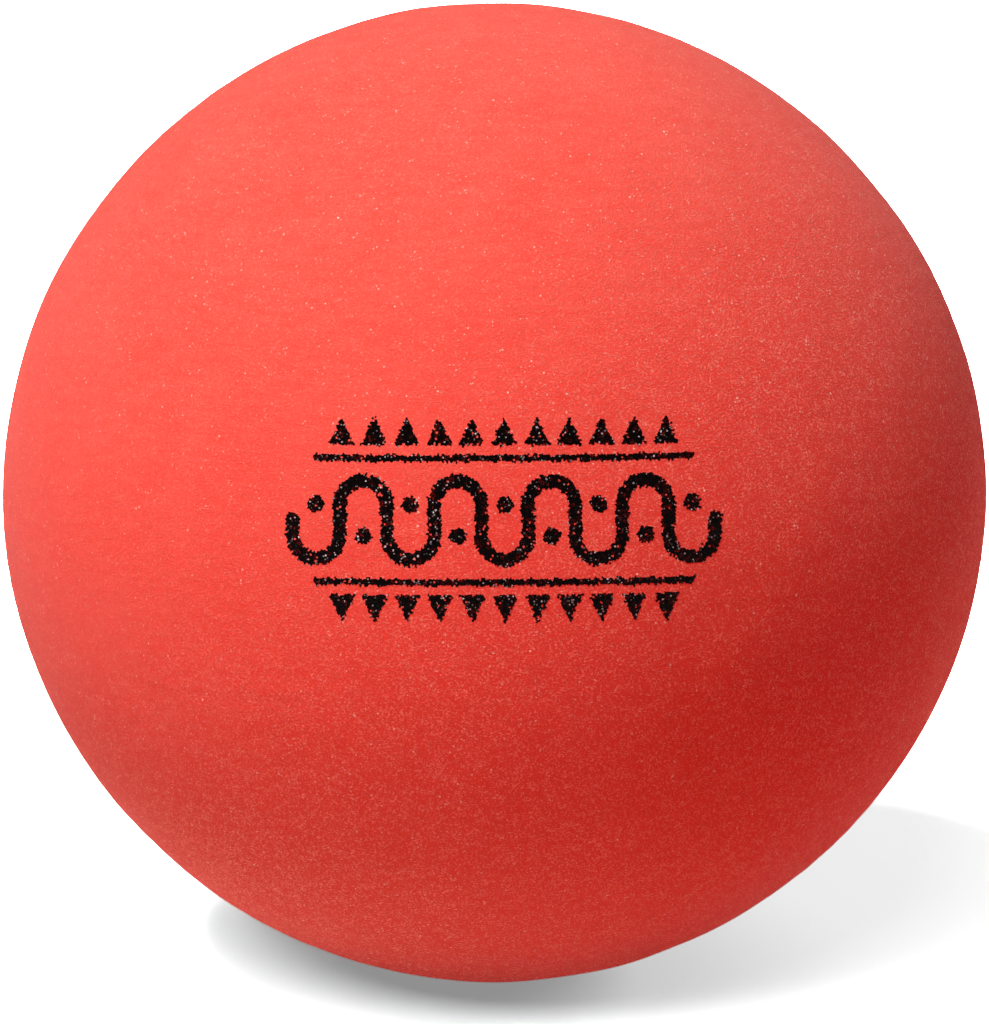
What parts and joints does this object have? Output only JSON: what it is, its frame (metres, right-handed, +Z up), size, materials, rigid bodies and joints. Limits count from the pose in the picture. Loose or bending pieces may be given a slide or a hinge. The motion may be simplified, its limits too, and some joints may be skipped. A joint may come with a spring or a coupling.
{
  "type": "foam dodgeball",
  "caption": "Soft red foam play ball, ground round from one block, for dodgeball and gymnastics, with a black ornamental frieze soaked into one side.",
  "frame": {"origin": "centre of the ball", "axes": "+Z up, away from the floor that the ball lies on; the printed side faces -Y, with the frieze's centre 12 degrees above the equator; +X to the right of someone who looks at the print"},
  "size_m": [0.18, 0.18, 0.18],
  "materials": {
    "red_foam": "matte",
    "black_ink": "matte"
  },
  "bodies": {
    "root": {"foam_ball": "red_foam", "ink_wave": "black_ink", "ink_upper_dots": "black_ink", "ink_lower_dots": "black_ink", "ink_upper_rule": "black_ink", "ink_lower_rule": "black_ink", "ink_upper_teeth": "black_ink", "ink_lower_teeth": "black_ink"}
  },
  "joints": []
}
